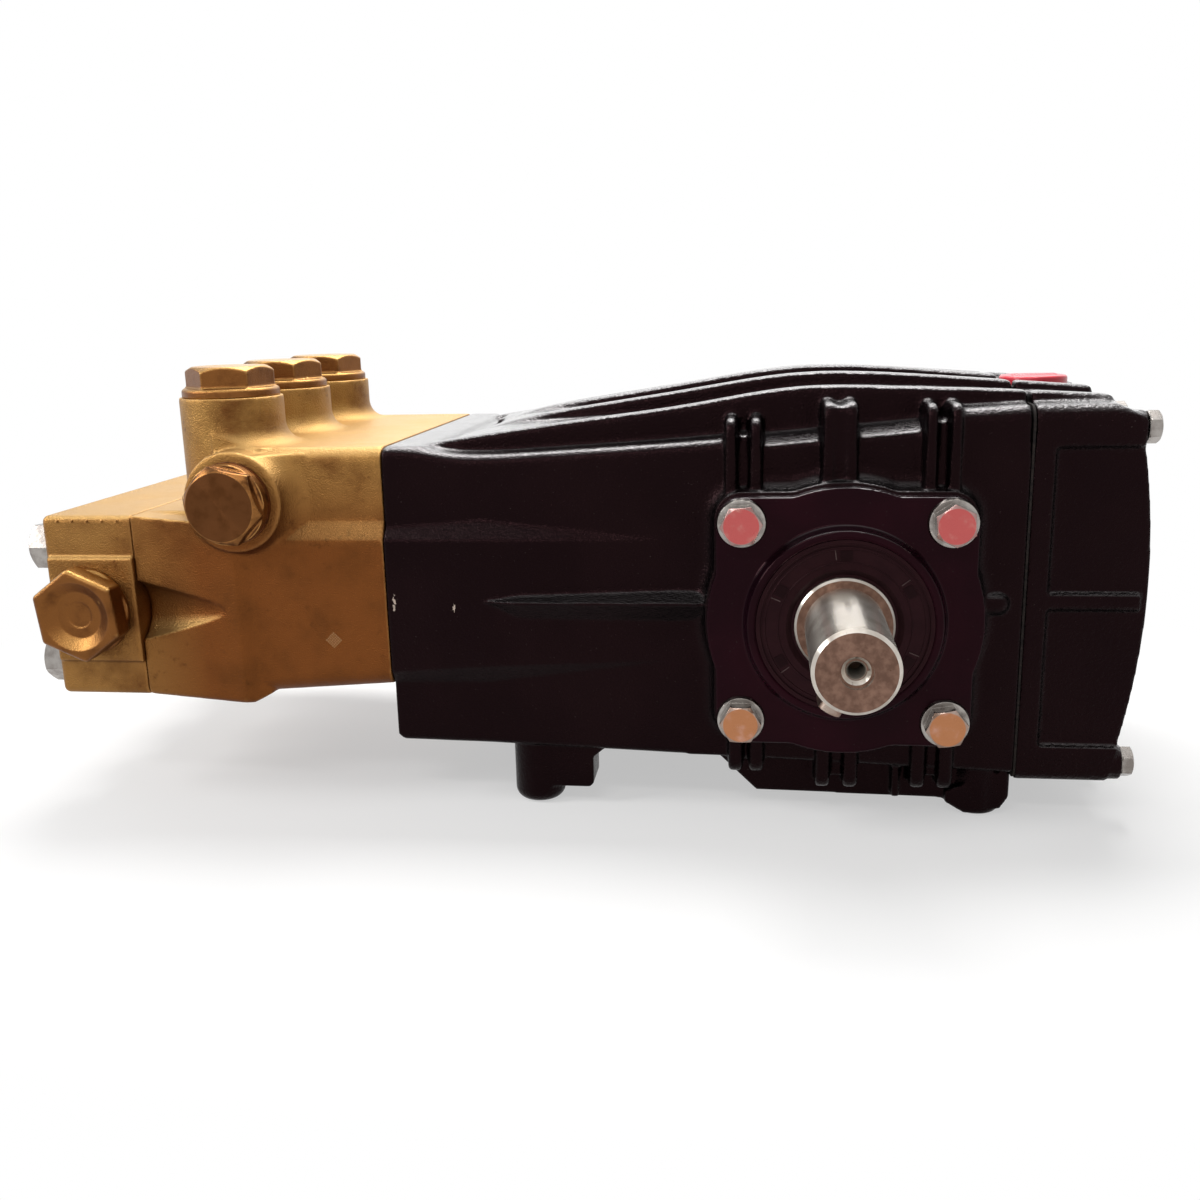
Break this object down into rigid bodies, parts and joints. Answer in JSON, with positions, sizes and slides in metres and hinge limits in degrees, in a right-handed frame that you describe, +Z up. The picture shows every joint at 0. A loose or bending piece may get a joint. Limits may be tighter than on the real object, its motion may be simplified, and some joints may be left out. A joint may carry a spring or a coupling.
{
  "type": "triplex plunger pump",
  "caption": "High-pressure plunger pump with a finned black crankcase, brass valve head and a keyed drive shaft",
  "frame": {"origin": "centre of the four foot holes, in the plane the feet stand on", "axes": "+Z up, +X along the pump from the brass head to the rear cover, the drive shaft points to -Y"},
  "size_m": [0.4257, 0.2433, 0.1724],
  "materials": {
    "black_enamel": "glossy black enamel on a cast aluminium housing",
    "blasted_brass": "bead-blasted forged brass",
    "clear_plastic": "pale clear plastic",
    "copper_washer": "copper sealing washer",
    "flange_enamel": "smooth black enamel on a machined flange",
    "gasket_fibre": "dark fibre gasket",
    "ground_steel": "ground steel shaft",
    "key_steel": "plain steel key",
    "red_plastic": "red moulded plastic",
    "seal_rubber": "black nitrile rubber",
    "textured_black_enamel": "black enamel with a fine orange-peel texture",
    "turned_brass": "turned brass",
    "zinc_plated_steel": "zinc-plated steel"
  },
  "bodies": {
    "pump_body": {"blind_flange": "flange_enamel", "blind_flange_bolt_1": "zinc_plated_steel", "blind_flange_bolt_2": "zinc_plated_steel", "blind_flange_bolt_3": "zinc_plated_steel", "blind_flange_bolt_4": "zinc_plated_steel", "cover_bolts_low": "zinc_plated_steel", "cover_bolts_top": "zinc_plated_steel", "cover_gasket": "gasket_fibre", "crankcase": "black_enamel", "delivery_plug": "turned_brass", "delivery_washer": "copper_washer", "drain_plug": "zinc_plated_steel", "drive_flange": "flange_enamel", "drive_flange_bolt_1": "zinc_plated_steel", "drive_flange_bolt_2": "zinc_plated_steel", "drive_flange_bolt_3": "zinc_plated_steel", "drive_flange_bolt_4": "zinc_plated_steel", "manifold_bolt_1": "zinc_plated_steel", "manifold_bolt_2": "zinc_plated_steel", "manifold_bolt_3": "zinc_plated_steel", "manifold_bolt_4": "zinc_plated_steel", "manifold_bolt_5": "zinc_plated_steel", "manifold_bolt_6": "zinc_plated_steel", "manifold_bolt_7": "zinc_plated_steel", "manifold_bolt_8": "zinc_plated_steel", "oil_cap": "red_plastic", "pump_head": "blasted_brass", "rear_cover": "textured_black_enamel", "shaft_seal": "seal_rubber", "sight_bezel": "zinc_plated_steel", "sight_lens": "clear_plastic", "suction_manifold": "blasted_brass", "suction_plug": "turned_brass", "valve_cap_1": "turned_brass", "valve_cap_2": "turned_brass", "valve_cap_3": "turned_brass"},
    "crankshaft": {"crankshaft": "ground_steel", "shaft_key": "key_steel"}
  },
  "joints": [
    {"name": "crankshaft_spin", "type": "hinge", "parent": "pump_body", "child": "crankshaft", "pos_m": [0.03175, 0, 0.08], "axis": [0, -1, 0], "continuous": true}
  ]
}
